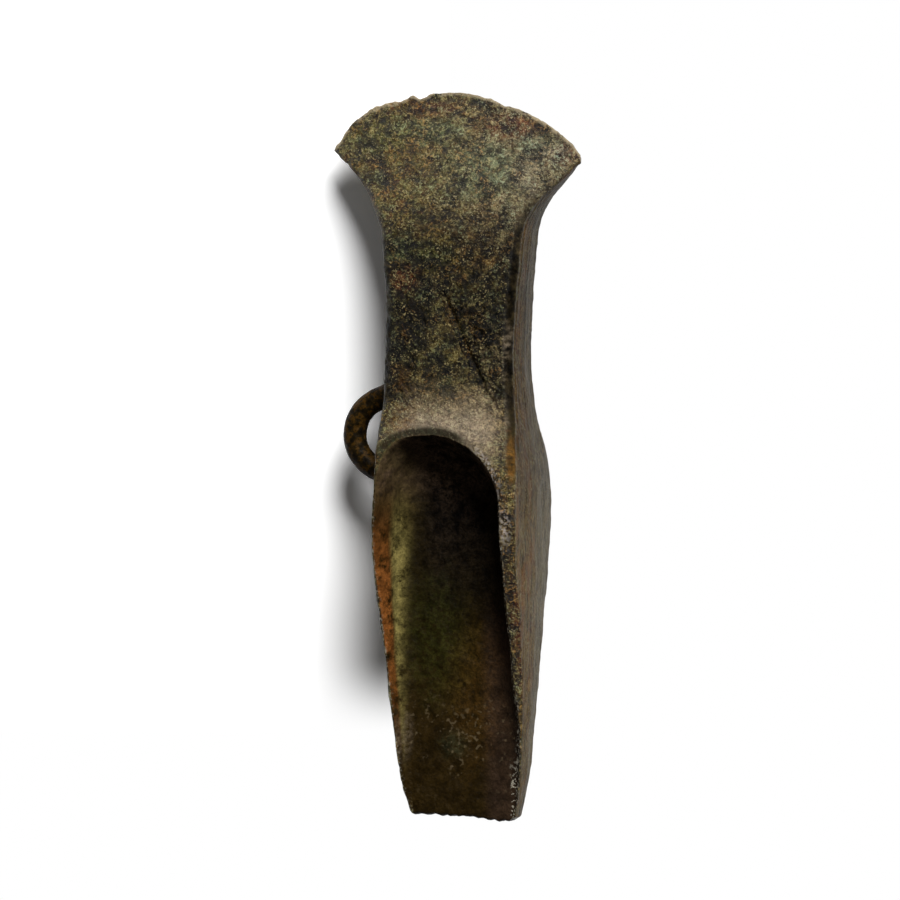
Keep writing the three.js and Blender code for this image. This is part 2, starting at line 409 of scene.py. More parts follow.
def half_row(place, hand):
    """Half a row over a face, from the middle past the crest down to the seam.

    It is on the right for a hand of 1 and on the left for -1.
    """
    bow = max(0, (place - bow_start) / (length - bow_start))
    side_place = lerp(bow_start, tip_place, bow) if bow > 0 else place
    half = float(half_width(side_place))
    side = float(side_thickness(side_place))
    wanted = right_rounding(side_place) if hand > 0 else left_rounding(side_place)
    rounding = min(float(wanted), side * rounding_limit_share)
    crest = half - rounding
    x = np.linspace(0, crest, fine_steps)
    height = face_height(hand * x, np.full_like(x, place), np.full_like(x, side_place), crest)
    face = resampled(np.stack([x, height], axis=1), face_steps)
    angle = np.linspace(math.pi / 2, 0, round_steps + 1)[1:]
    wall_top = face[-1, 1] - rounding
    turn = np.stack([crest + rounding * np.cos(angle), wall_top + rounding * np.sin(angle)], axis=1)
    down = np.linspace(1, 0, side_steps + 1)[1:] * wall_top
    wall = np.stack([half + (side - down) * side_draft_share, down], axis=1)
    row = np.concatenate([face, turn, wall])
    share = np.minimum(1, row[:, 0] / half)
    drop = edge_radius - np.sqrt(edge_radius**2 - (share * tip_width / 2) ** 2)
    along = lerp(place, side_place, drop / edge_rise)
    return np.stack([hand * row[:, 0], along, row[:, 1]], axis=1)


def casting_grid():
    """Points of every ring: over the upper face from right to left, and back over the lower one."""
    rings = []
    for place, share in zip(station_places, station_shares):
        right = half_row(place, 1)
        left = half_row(place, -1)
        upper = np.concatenate([right[:0:-1], left]) * [1, 1, share]
        lower = upper[-2:0:-1] * [1, 1, -1]
        rings.append(np.concatenate([upper, lower]))
    return np.array(rings)


grid = casting_grid()
row_points = grid.shape[1] // 2 + 1

# Noise, in the part's own coordinates
seed_step = 17.3
noise_gain = 1.6
gradient_count = 4096
gradients = np.random.default_rng(7).normal(size=(gradient_count, 3))
gradients /= np.linalg.norm(gradients, axis=1, keepdims=True)
hash_steps = np.array([73856093, 19349663, 83492791])


def noise(points, grain, seed):
    """Smooth random lumps of about the size of grain, from -1 to 1. Grain may differ along x, y and z."""
    cells = points / grain + seed * seed_step
    base = np.floor(cells).astype(np.int64)
    part = cells - base
    ease = part**3 * (part * (part * 6 - 15) + 10)
    total = np.zeros(part.shape[:-1])
    for corner in np.ndindex(2, 2, 2):
        index = ((base + corner) * hash_steps).sum(-1) % gradient_count
        weight = np.prod(np.where(corner, ease, 1 - ease), axis=-1)
        total += weight * ((part - corner) * gradients[index]).sum(-1)
    return np.clip(total * noise_gain, -1, 1)


def placed(points):
    """Points moved from the casting's own coordinates to the frame's, and kept inside its box."""
    return np.clip(points + [0, lowest.y, stop_thickness / 2], list(lowest), list(highest))


def grid_normals(points):
    """The direction out of the casting at every point of its grid."""
    along = np.gradient(points, axis=0)
    around = (np.roll(points, -1, axis=1) - np.roll(points, 1, axis=1)) / 2
    normals = np.cross(along, around)
    size = np.linalg.norm(normals, axis=-1, keepdims=True)
    return normals / np.maximum(size, least_cross)


# Every point of the grid, and how it stands to the sides, the crests, the slot and the triangle
ring_places = station_places[:, None]
bow_shares = np.maximum(0, (ring_places - bow_start) / (length - bow_start))
side_places = np.where(bow_shares > 0, lerp(bow_start, tip_place, bow_shares), ring_places)
normals = grid_normals(grid)
x, place, height = np.moveaxis(grid, -1, 0)
tall = np.abs(height)
floor_height = septum_thickness / 2
crest_heights = side_thickness(side_places)
over_crest = tall - crest_heights
over_side = np.abs(x) - half_width(side_places)
outside = outside_slot(x, place, np.maximum(tall - floor_height, 0))
beside = x - triangle_middle(side_places)
triangle_edge = triangle_half_width(beside, side_places)
past_triangle = np.abs(beside) - triangle_edge
foot_widths = np.where(beside > 0, right_foot_width, left_foot_width)
roundings = np.where(x > 0, right_rounding(side_places), left_rounding(side_places))

# Zones of the surface, each from 0 to 1 at every point, for the wear and the colours. A fade is a pair
# of its start and its end, a bump is a pair of its middle and its reach, and a stretch is where a zone
# starts, is full, fades and ends. The other pairs are fades too, except where they go to bump_at.
side_fade = (-0.0003, 0.00005)
slot_outline_fade = (0.0004, 0.0001)
slot_end_fade = (arch_end + 0.004, arch_end)
side = smooth(over_side, *side_fade)
in_slot = (1 - side) * smooth(outside, *slot_outline_fade) * smooth(place, *slot_end_fade)
face = (1 - side) * (1 - in_slot)

# The slot's end under the arch, which lies in shade and has lighter colour painted on it as painted light,
# its walls and its floor
arch_shade_fade = (crest_start - 0.03, crest_start + 0.002)
arch_shade_across = (-0.011, -0.004)
arch_back_painted_light_fade = (crest_start, crest_start + 0.008)
arch_left_painted_light_bump = (crest_start + 0.006, 0.015)
arch_left_painted_light_across = (-0.0075, -0.0115)
slot_foot_fade = (0.05, 0.02)
butt_floor_bump = (0.017, 0.016)
left_wall_across = (0, -0.003)
upper_wall_shares = (0.35, 0.6)
orange_wall_bump = (0.046, 0.032)
green_wall_high = (floor_height + 0.0001, floor_height + 0.003)
green_wall_stretch = (0.006, 0.024, crest_start - 0.012, crest_start + 0.008)
right_wall_painted_light_across = (0.004, 0.0075)
right_wall_painted_light_fade = (0.056, 0.04)
least_wall_height = 0.001
under_arch = in_slot * smooth(place, *arch_shade_fade) * smooth(x, *arch_shade_across)
# Painted light over its own olive patina: the arch's left wall, made lighter where it would catch light
arch_left_painted_light = in_slot * bump_at(place, *arch_left_painted_light_bump) * smooth(x, *arch_left_painted_light_across)
wall_share = (tall - floor_height) / np.maximum(crest_heights - floor_height, least_wall_height)
upper_wall = smooth(wall_share, *upper_wall_shares)
left_wall = in_slot * smooth(x, *left_wall_across)
green_wall = left_wall * (1 - upper_wall) * smooth(tall, *green_wall_high)
green_wall *= within(place, *green_wall_stretch)

# The raised triangle, the hollows beside it and the groove at its foot
hollow_overlap = 0.0004
hollow_foot_share = 0.8
hollow_gain = 1.6
triangle_across = (0.0006, -0.001)
waist_fades = (collar_foot - 0.004, collar_foot + 0.004)
triangle_stretch = (*waist_fades, triangle_apex - 0.003, triangle_apex + 0.002)
groove_foot_share = 0.7
groove_reach = 0.0013
groove_stretch = (*waist_fades, triangle_apex - 0.001, triangle_apex + 0.002)
hollow = face * smooth(past_triangle, -hollow_overlap, foot_widths * hollow_foot_share)
hollow *= np.clip(hollow_at(side_places) / hollow_depth * hollow_gain, 0, 1)
triangle = face * smooth(past_triangle, *triangle_across) * within(place, *triangle_stretch)
groove = face * bump_at(beside, triangle_edge + foot_widths * groove_foot_share, groove_reach)
groove *= within(place, *groove_stretch)

# The narrow left crest, the slot's rim on the right and the rounded edges of the waist; the left crest and
# the rounded edges get painted shade, the rim painted highlight dots
left_crest_across = (-0.0003, 0.0009)
left_crest_high = (-0.0025, -0.0008)
rim_outside = (0.0001, 0.0006)
rim_high = (-0.0024, -0.0012)
rim_fade = (crest_end, crest_end - 0.008)
rim_across = (-0.004, 0.004)
rim_crest_share = 0.6
roll_shares = (-1.1, -0.6)
roll_roundings = (0.0012, 0.0022)
right_crest_across = (0.0085, 0.0105)
right_crest_bump = (0.05, 0.04)
right_crest_outside = (0.012, 0.006)
left_crest = (x < 0) * bump_at(over_side, *left_crest_across)
left_crest *= smooth(over_crest, *left_crest_high) * smooth(place, crest_end, crest_start)
# The rim gets small pits, and its colour is painted highlight: pale dots along the slot's rim and the left
# crest, where the crests catch the light
rim = bump_at(outside, *rim_outside) * smooth(over_crest, *rim_high)
rim *= smooth(place, *rim_fade) * smooth(x, *rim_across)
roll = smooth(over_side / roundings, *roll_shares) * smooth(roundings, *roll_roundings)
right_crest = face * smooth(x, *right_crest_across) * bump_at(place, *right_crest_bump)

# The worn lip of the arch, the painted glints (painted highlights) beside it and the pale collar
arch_lip_fade = (crest_start - 0.012, crest_start)
lip_shares = (1.4, 0.7)
lip_across = (0.0075, 0.002)
painted_glint_outside = (0.0006, 0.0018)
painted_glint_across = (0.0095, 0.005)
low_painted_glint_outside = (0.0014, 0.002)
low_painted_glint_bump = (0.0645, 0.006)
right_half_across = (0, 0.004)
collar_bump = (crest_end + 0.0105, 0.0145)
collar_edge_width = 0.007
arch_lip = smooth(place, *arch_lip_fade)
lip = face * smooth(outside / lip_width, *lip_shares) * arch_lip * smooth(x, *lip_across)
# Painted highlight: pale glints laid beside the arch's lip and low on the slot's right rim, where light
# would shine off the metal
painted_glint = face * bump_at(outside, *painted_glint_outside) * bump_at(x, *painted_glint_across) * arch_lip
low_painted_glint = face * bump_at(outside, *low_painted_glint_outside) * bump_at(place, *low_painted_glint_bump)
painted_glint = np.maximum(painted_glint, low_painted_glint * smooth(x, *right_half_across))
collar = face * bump_at(place, *collar_bump) * smooth(over_side, 0, -collar_edge_width)

# The sides: the seam of the mould, the duller waist and a crack beside the stop
low_side_share = 0.35
seam_high = (0.0002, 0.0018)
seam_bump = (0.112, 0.02)
waist_side_stretch = (0.062, 0.082, 0.12, 0.14)
crack_start = 0.0838
crack_length = 0.0131
crack_drop = 0.01
crack_width = 0.0007
crack_bump = (0.0772, 0.0075)
crack_height = -crack_drop * np.clip((crack_start - place) / crack_length, 0, 1)
crack = side * smooth(x, *right_half_across) * bump_at(height, crack_height, crack_width)
crack *= bump_at(place, *crack_bump)

# The waist and the blade, with painted light on the blade's right part and painted shade along the bevel
waist_stretch = (collar_foot - 0.004, collar_foot + 0.007, waist_end - 0.004, waist_end + 0.012)
painted_light_right_across = (-0.014, 0.024)
painted_light_right_fade = (0.112, 0.132)
bevel_shade_bump = (length - 0.0019, 0.0014)
bevel_shade_across = (-0.004, 0.008)
edge_fade = (length - 0.0008, length - 0.0004)

# Wear: how far each point stands out of the smooth casting, along its normal. Each kind of noise has
# a grain, which is the size of its lumps, and a height or a depth.
wobble_grain = 0.009
wobble_height = 0.0002
lump_grain = 0.0032
lump_height = 0.00018
lump_smooth_share = 0.6
grain_size = 0.0015
grain_height = 0.00018
fine_grain_size = 0.0008
fine_grain_height = 0.0001
grain_smooth_share = 0.85
grain_slot_share = 0.4
streak_grain = np.array([0.0009, 0.014, 0.0009])
streak_height = 0.00007
pit_grain = 0.0018
pit_level = 0.1
small_pit_grain = 0.001
small_pit_level = 0.15
hollow_pit_depth = 0.0005
hollow_small_pit_depth = 0.0003
arch_pit_depth = 0.0004
arch_lump_height = 0.0002
face_pit_depth = 0.0001
crest_pit_depth = 0.00022
groove_depth = 0.0006
lip_smooth_share = 0.8
roll_smooth_share = 0.7

wobbly = noise(grid, wobble_grain, 1)
lumps = noise(grid, lump_grain, 2)
grains = noise(grid, grain_size, 3)
fine_grains = noise(grid, fine_grain_size, 4)
streaks = noise(grid, streak_grain, 5)
pits = np.clip(noise(grid, pit_grain, 6) - pit_level, 0, 1)
small_pits = np.clip(noise(grid, small_pit_grain, 8) - small_pit_level, 0, 1)
smoothed = np.maximum(np.maximum(side, lip_smooth_share * lip), roll_smooth_share * roll)
grainy = (1 - grain_smooth_share * smoothed) * (1 - grain_slot_share * in_slot)
relief = (
    -surface_sink
    + wobble_height * wobbly
    + lump_height * lumps * (1 - lump_smooth_share * smoothed)
    + (grain_height * grains + fine_grain_height * fine_grains) * grainy
    + side * streak_height * streaks
    - hollow * (hollow_pit_depth * pits + hollow_small_pit_depth * small_pits)
    - under_arch * (arch_pit_depth * pits + arch_lump_height * lumps)
    - face * face_pit_depth * small_pits
    - (left_crest + rim) * crest_pit_depth * small_pits
    - groove * groove_depth
)
worn = grid + normals * relief[..., None]

# Shape of the two ends, as (x, shift away from the butt) pairs: the cutting edge is chipped on the left,
# and the butt is broken
edge_outline = curve_through(
    [
        (-0.0283, 0.0026), (-0.0265, 0.0024), (-0.025, 0.0031), (-0.0205, 0.0028),
        (-0.016, 0.0018), (-0.0115, 0.0006), (-0.0095, 0.0009), (-0.0075, -0.0003),
        (-0.0055, 0), (0.003, -0.0003), (0.0085, -0.001), (0.0115, -0.0015),
        (0.0158, -0.0012), (0.0208, -0.001), (0.0255, -0.0006), (0.0275, -0.0012),
        (0.0283, -0.0022),
    ]
)
butt_outline = curve_through(
    [
        (-0.0127, 0.003), (-0.0112, 0.0014), (0.001, 0.0011), (0.0054, 0.0003),
        (0.0076, 0), (0.0105, 0.0001), (0.0122, 0.0009), (0.0134, 0.0028),
    ]
)
chip_grain = 0.0022
chip_across = (0.002, -0.006)
chip_depth = 0.0005
small_chip_grain = 0.0014
small_chip_share = 0.25
edge_bend_start = bow_start + 0.016
edge_bend_power = 1.5
jag_grain = 0.0027
jag_stretch = [1, 0.2, 0.5]
jag_depth = 0.0006
butt_bend_length = 0.012
chips = np.abs(noise(grid, chip_grain, 11)) * smooth(x, *chip_across)
chips += small_chip_share * np.abs(noise(grid, small_chip_grain, 12))
jags = np.abs(noise(grid * jag_stretch, jag_grain, 13))
at_edge = smooth(ring_places, edge_bend_start, length) ** edge_bend_power
at_butt = smooth(ring_places, butt_bend_length, 0)
worn[..., 1] += at_edge * (edge_outline(x) - chip_depth * chips * at_edge)
worn[..., 1] += at_butt * (butt_outline(x) + jag_depth * jags)

# The casting isn't quite straight: (place, shift to the right) pairs, and a fuller right flare
lean = curve_through(
    [
        (0.06, 0), (0.078, 0.0007), (0.086, 0.0003), (0.098, 0),
        (0.112, 0.0004), (0.122, 0.0007), (0.138, 0.0008), (0.15, 0),
    ]
)
flare_swell = 0.0008
flare_swell_across = (0.004, 0.016)
flare_swell_bump = (0.1405, 0.009)
worn[..., 0] += lean(place)
worn[..., 0] += flare_swell * smooth(x, *flare_swell_across) * bump_at(worn[..., 1], *flare_swell_bump)
worn = placed(worn)
worn_normals = grid_normals(worn)

# Spots of colour: x and place of the middle, then the reach across and along
spots = {}
spots["rust"] = [
    (-0.0046, 0.1561, 0.005, 0.0018),
    (0.0118, 0.1525, 0.0068, 0.0031),
    (0.0254, 0.1461, 0.0027, 0.0022),
    (-0.0101, 0.1189, 0.0027, 0.0028),
    (0.0155, 0.0403, 0.0011, 0.0099),
]
spots["ochre"] = [
    (-0.0243, 0.1502, 0.0018, 0.0011),
    (0.0102, 0.1399, 0.0014, 0.0011),
    (0.0093, 0.1229, 0.0032, 0.0022),
    (-0.0002, 0.1124, 0.0009, 0.0026),
    (-0.0103, 0.0968, 0.0021, 0.0022),
    (-0.0102, 0.0885, 0.0028, 0.0034),
    (0.015, 0.0787, 0.0011, 0.0048),
    (0.0032, 0.0288, 0.005, 0.0131),
    (0.0019, 0.1272, 0.0068, 0.0022),
]
spots["sage"] = [
    (0.0068, 0.1429, 0.0078, 0.0061),
    (0.0183, 0.1483, 0.0037, 0.002),
    (-0.0063, 0.149, 0.0016, 0.0011),
    (-0.0121, 0.1251, 0.0025, 0.0022),
    (-0.0051, 0.1516, 0.0068, 0.0026),
]
spots["olive"] = [
    (-0.0175, 0.1484, 0.0055, 0.0033),
    (-0.0032, 0.1243, 0.0046, 0.0031),
    (-0.005, 0.0399, 0.0059, 0.0109),
    (-0.0121, 0.0805, 0.0023, 0.0035),
]
spots["teal"] = [
    (-0.0003, 0.0972, 0.0016, 0.0031),
    (-0.0015, 0.017, 0.0027, 0.0026),
    (0.01, 0.0996, 0.0011, 0.0011),
]
spots["pale"] = [
    (0.0057, 0.0921, 0.005, 0.0026),
    (0.0105, 0.0868, 0.0023, 0.0026),
    (-0.0128, 0.019, 0.0014, 0.0044),
    (0.0108, 0.1035, 0.0027, 0.0062),
    (0.0132, 0.0624, 0.0009, 0.0028),
    (0.0209, 0.1461, 0.0032, 0.0018),
    (0.0161, 0.1422, 0.0027, 0.0039),
]
spots["dark"] = [
    (-0.0155, 0.1405, 0.0037, 0.0028),
    (0.0139, 0.1228, 0.0009, 0.0074),
    (-0.0058, 0.112, 0.003, 0.0053),
    (-0.0106, 0.1056, 0.0027, 0.0061),
    (0.0102, 0.1084, 0.0018, 0.0061),
    (-0.0006, 0.0766, 0.0055, 0.0035),
    (0.0114, 0.0116, 0.0016, 0.0035),
]
spots["purple"] = [
    (0.0054, 0.104, 0.0011, 0.0053),
    (0.0097, 0.0379, 0.0014, 0.0131),
    (0.0011, 0.0744, 0.0032, 0.0026),
]
ragged_share = 0.35
ragged_grain = 0.004
fine_ragged_share = 0.25
fine_ragged_grain = 0.0016
spot_fade = (1.8, 0.4)
ragged = ragged_share * noise(grid, ragged_grain, 31)
ragged += fine_ragged_share * noise(grid, fine_ragged_grain, 32)


def spotted(name):
    """1 in the middle of each spot, fading out raggedly past its reach."""
    near = np.zeros_like(x)
    for spot_x, spot_place, across, along in spots[name]:
        far = np.hypot((x - spot_x) / across, (place - spot_place) / along) + ragged
        near = np.maximum(near, smooth(far, *spot_fade))
    return near


zones = {
    "side": side,
    "low_side": side * smooth(height, crest_heights * low_side_share, crest_heights * -low_side_share),
    "seam": side * bump_at(height, *seam_high) * bump_at(place, *seam_bump),
    "waist_side": side * within(place, *waist_side_stretch),
    "crack": crack,
    "slot": in_slot,
    "under_arch": under_arch,
    "arch_back_painted_light": in_slot * smooth(place, *arch_back_painted_light_fade),
    "arch_left_painted_light": arch_left_painted_light,
    "slot_foot": in_slot * smooth(place, *slot_foot_fade),
    "butt_floor": in_slot * bump_at(place, *butt_floor_bump),
    "orange_wall": left_wall * upper_wall * bump_at(place, *orange_wall_bump),
    "green_wall": green_wall,
    "right_wall_painted_light": in_slot * smooth(x, *right_wall_painted_light_across) * smooth(place, *right_wall_painted_light_fade),
    "left_crest": left_crest,
    "right_crest": right_crest * smooth(outside, *right_crest_outside),
    "rim": np.maximum(rim, rim_crest_share * left_crest),
    "roll": roll * (1 - side),
    "lip": lip,
    "painted_glint": painted_glint,
    "collar": collar,
    "waist": face * within(place, *waist_stretch),
    "hollow": hollow,
    "triangle": triangle,
    "groove": groove,
    # Painted light over a paler crust: the blade's right part made paler, where the light falls brightest
    "painted_light_right": face * smooth(x, *painted_light_right_across) * smooth(place, *painted_light_right_fade),
    # Painted shade: a dark band just inside the right part of the cutting edge, the shading of the bevel
    "bevel_shade": face * bump_at(ring_places, *bevel_shade_bump) * smooth(x, *bevel_shade_across),
    "edge": np.broadcast_to(smooth(ring_places, *edge_fade), x.shape),
    **{name: spotted(name) for name in spots},
}


def added(name, data):
    """A new object in the scene."""
    obj = bpy.data.objects.new(name, data)
    bpy.context.scene.collection.objects.link(obj)
    return obj


def piece(name, points, faces, flat, zone_values, normals=None):
    """A mesh that rides on the root, with a layer for each zone and flat faces where flat is set."""
    mesh = bpy.data.meshes.new(name)
    mesh.from_pydata(points.tolist(), [], faces)
    mesh.polygons.foreach_set("use_smooth", np.logical_not(flat))
    for zone, values in zone_values.items():
        layer = mesh.attributes.new(zone, "FLOAT", "POINT")
        layer.data.foreach_set("value", np.ascontiguousarray(values, np.float32).ravel())
    mesh.update()
    if normals is not None:
        corner_points = np.concatenate(faces)
        corner_normals = normals[corner_points]
        corner_normals[np.repeat(flat, [len(face) for face in faces])] = 0
        mesh.normals_split_custom_set(corner_normals.tolist())
    obj = added(name, mesh)
    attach(obj, "root")
    return obj


def ring_faces(ring_count, around):
    """The four-sided faces between rings of points, each ring joined to the next one."""
    corner = np.arange((ring_count - 1) * around).reshape(-1, around)
    after = np.roll(corner, -1, axis=1)
    return np.stack([corner, corner + around, after + around, after], axis=-1).reshape(-1, 4)


def stretch(name, start, end):
    """One closed piece of the casting between two places along it, flat where it was cut."""
    rows = np.flatnonzero((station_places >= start - tiny) & (station_places <= end + tiny))
    around = grid.shape[1]
    shell = ring_faces(len(rows), around).tolist()
    upper = np.arange(1, row_points - 2)
    cap = np.stack([upper, upper + 1, around - upper - 1, around - upper], axis=-1).tolist()
    cap.append([0, 1, around - 1])
    cap.append([row_points - 2, row_points - 1, row_points])
    far_ring = (len(rows) - 1) * around
    far_cap = [[corner + far_ring for corner in reversed(face)] for face in cap]
    faces = shell + cap + far_cap
    flat = np.arange(len(faces)) >= len(shell)
    values = {zone: zones[zone][rows] for zone in zones}
    points = worn[rows].reshape(-1, 3)
    return piece(name, points, faces, flat, values, worn_normals[rows].reshape(-1, 3))


blade = stretch("blade_casting", blade_join, length)
stop = stretch("stop_casting", crest_start, blade_join)
haft = stretch("haft_casting", 0, crest_start)
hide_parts("blade")
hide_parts("stop_ridge")
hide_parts("septum", "left_flange", "right_flange")

# Side loop: a bow of round bronze, thicker where it grows out of the side
bow_rings = 130
root_rings = 10
loop_sides = 56
loop_dent_grain = 0.0012
loop_dent_level = 0.2
loop_dent_depth = 0.0003
loop_wobble_grain = 0.0035
loop_wobble_height = 0.0001
loop_grain_size = 0.0008
loop_grain_height = 0.00005


def loop_piece():
    """The loop, swept round its bow between two roots that are sunk into the side."""
    side_x = -float(half_width(loop_place))
    angle = np.linspace(-math.pi / 2, math.pi / 2, bow_rings)
    bow = np.stack(
        [side_x - loop_reach * np.cos(angle), loop_place + loop_span / 2 * np.sin(angle)], axis=1
    )
    sink = np.linspace(loop_root_depth, 0, root_rings, endpoint=False)
    first = np.stack([side_x + sink, np.full(root_rings, bow[0, 1])], axis=1)
    last = np.stack([side_x + sink[::-1], np.full(root_rings, bow[-1, 1])], axis=1)
    path = np.concatenate([first, bow, last])
    along = np.gradient(path, axis=0)
    along /= np.linalg.norm(along, axis=1, keepdims=True)
    away = np.stack([-along[:, 1], along[:, 0]], axis=1)
    near_root = smooth(path[:, 0], side_x - loop_swell_length, side_x + loop_swell_overlap)
    swell = (1 + loop_swell_share * near_root)[:, None, None]
    turn = np.linspace(0, 2 * math.pi, loop_sides, endpoint=False)
    sideways = np.cos(turn)[None, :, None] * away[:, None, :]
    upwards = np.broadcast_to(np.sin(turn)[:, None], (len(path), loop_sides, 1))
    flat = path[:, None, :] + sideways * loop_thickness / 2 * swell
    points = np.concatenate([flat, upwards * loop_height / 2 * swell], axis=2)
    dents = np.clip(noise(points, loop_dent_grain, 22) - loop_dent_level, 0, 1)
    rub = loop_wobble_height * noise(points, loop_wobble_grain, 21) - loop_dent_depth * dents
    rub += loop_grain_height * noise(points, loop_grain_size, 23) - surface_sink
    points += np.concatenate([sideways, upwards], axis=2) * rub[..., None]
    points = placed(points).reshape(-1, 3)
    shell = ring_faces(len(path), loop_sides)[:, [0, 3, 2, 1]].tolist()
    ends = np.arange(loop_sides)
    faces = [*shell, ends[::-1].tolist(), (ends + (len(path) - 1) * loop_sides).tolist()]
    flags = np.arange(len(faces)) >= len(shell)
    return piece("side_loop_bow", points, faces, flags, {"loop": np.ones(len(points))})


loop = loop_piece()
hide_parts("side_loop")

# Material: noises as (grain, detail, roughness), the levels of them where a fade starts and ends, and
# the colours that the ramps run through
noises = {
    "patch": (0.0075, 3, 0.6),
    "mottle": (0.0023, 3, 0.65),
    "breakup": (0.0011, 3, 0.7),
    "uneven": (0.003, 4, 0.75),
    "streak": (0.0008, 4, 0.75),
    "rusty": (0.0026, 3, 0.6),
    "band": (0.0016, 3, 0.6),
    "ridge": (0.0009, 3, 0.6),
    "fine": (0.00065, 4, 0.75),
    "clump": (0.0018, 2, 0.5),
    "hue": (0.0009, 2, 0.5),
    "gap": (0.0012, 4, 0.7),
    "void": (0.0034, 3, 0.6),
    "broad": (0.0028, 3, 0.6),
    "light": (0.0055, 3, 0.6),
    "speck": (0.00045, 1, 0.5),
    "cluster": (0.003, 2, 0.5),
    "blob": (0.001, 1, 0.5),
    "blob_cluster": (0.005, 2, 0.5),
    "dot": (0.0006, 2, 0.5),
    "painted_glint": (0.0009, 3, 0.6),
    "nick": (0.002, 3, 0.6),
}
levels = {
    "breakup": (0.3, 0.62),
    "uneven": (0.3, 0.56),
    "rusty": (0.48, 0.62),
    "speck": (0.6, 0.7),
    "cluster": (0.42, 0.6),
    "blob": (0.58, 0.7),
    "blob_cluster": (0.42, 0.58),
    "dot": (0.54, 0.61),
    "painted_glint": (0.45, 0.62),
    "nick": (0.36, 0.5),
}
ridge_levels = (0.1, 0)
grain_highlight_levels = (0.53, 0.62)
mottle_tones = [
    (0.37, "#3a270c"),
    (0.44, "#63461a"),
    (0.49, "#6c5a2a"),
    (0.54, "#626338"),
    (0.59, "#7c5422"),
    (0.66, "#8c4c20"),
]
brown_tones = [(0.36, "#241a0d"), (0.46, "#45351c"), (0.53, "#745c36"), (0.6, "#34301a"), (0.68, "#8a7450")]
grey_tones = [(0.36, "#2c241a"), (0.46, "#4c4434"), (0.53, "#72664e"), (0.6, "#3c372a"), (0.68, "#8a7e68")]
loop_tones = [(0.35, "#100c07"), (0.48, "#221a0b"), (0.58, "#46300f"), (0.68, "#1c180e")]
hue_tones = [(0.36, "#623d14"), (0.47, "#5c4b1e"), (0.54, "#686a3c"), (0.66, "#848c66")]
grain_highlight_tones = [(0.4, "#b28a58"), (0.48, "#b0a276"), (0.55, "#a5a884"), (0.62, "#a3b498")]
fine_shades = [(0.36, "#222222"), (0.44, "#787878"), (0.52, "#d0d0d0"), (0.61, "#ffffff")]
gap_shades = [(0.42, "#2a2a2a"), (0.52, "#ffffff")]
void_shades = [(0.41, "#3c3c3c"), (0.52, "#e0e0e0"), (0.6, "#ffffff")]
broad_shades = [(0.38, "#6c6c6c"), (0.5, "#dcdcdc"), (0.6, "#ffffff")]

# The zones' colours, as (zone, share, colour), from the lowest layer up
zone_layers = [
    ("waist", 0.7, "#41361b"),
    ("hollow", 0.8, "#231c0c"),
    ("triangle", 0.68, "#7d7048"),
    # Painted light over a paler crust: the blade's right part made paler
    ("painted_light_right", 0.6, "#b8a27c"),
    ("collar", 0.95, "#ab9984"),
    ("slot", 1.0, "#221b08"),
    ("slot_foot", 0.8, "#31240d"),
    # Painted light: a lighter brown on the slot's right wall and fillet, which lie in shade
    ("right_wall_painted_light", 0.8, "#3c2d22"),
    ("right_crest", 0.85, "#4c3618"),
    # Painted shade: the dark band along the bevel
    ("bevel_shade", 0.8, "#33241a"),
    # Painted light: under_arch and arch_back_painted_light lay lighter colour on the slot's shaded end
    # under the arch, standing in for light reaching it
    ("under_arch", 0.85, "#2a211a"),
    ("arch_back_painted_light", 0.8, "#665240"),
    ("groove", 0.8, "#1b1410"),
    # Painted shade: a dark band along the rounded edges of the waist and blade, where they turn away from
    # the light
    ("roll", 0.85, "#302818"),
    # Painted shade: the left crest's outer edge darkened, where it faces away from the light
    ("left_crest", 0.7, "#1c170e"),
]
spot_layers = [
    ("rust", 0.85, "#8e4226"),
    ("ochre", 0.55, "#96682a"),
    ("sage", 0.85, "#869a7a"),
    ("olive", 0.65, "#5f6a2c"),
    ("teal", 0.4, "#4f8068"),
    ("pale", 0.7, "#bfab90"),
    ("dark", 0.8, "#17120a"),
    ("purple", 0.6, "#40291f"),
]
wall_layers = [
    ("orange_wall", 0.95, "#a2632f"),
    ("green_wall", 0.9, "#a69758"),
    # Painted light over olive patina: the arch's left wall made lighter
    ("arch_left_painted_light", 0.6, "#5c4c2e"),
]

# Shares of the patina's layers, and its sheen
seam_share = 0.8
waist_side_share = 0.9
crack_share = 0.85
slot_spot_share = 0.8
lip_share = 0.95
rusty_share = 0.5
rough_roll_share = 0.7
rough_smooth_share = 0.7
rough_floor_share = 0.5
lit_deep_share = 0.55
fresh_collar_share = 0.65
patch_share = 0.5
fine_share = 0.65
clump_share = 0.25
ridge_share = 0.1
hue_share = 0.32
shade_share = 0.9
shade_collar_share = 0.25
gap_share = 0.75
void_share = 0.9
grain_highlight_share = 0.6
speck_share = 0.55
speck_height_share = 0.25
blob_share = 0.3
highlight_dot_share = 0.65
painted_glint_share = 0.8
nick_share = 0.75
dull_damp_share = 0.6
least_shine = 0.03
sheen_share = 0.27
patina_roughness = 0.36
bump_distance = 0.0006
streak_scale = (1, 0.1, 1)
rusty_scale = (1, 0.25, 1)


def from_hex(code):
    """Linear red, green, blue and 1 from a colour as it looks on a screen."""
    shown = [int(code[i : i + 2], 16) / 255 for i in (1, 3, 5)]
    linear = [c / 12.92 if c <= 0.04045 else ((c + 0.055) / 1.055) ** 2.4 for c in shown]
    return (*linear, 1)


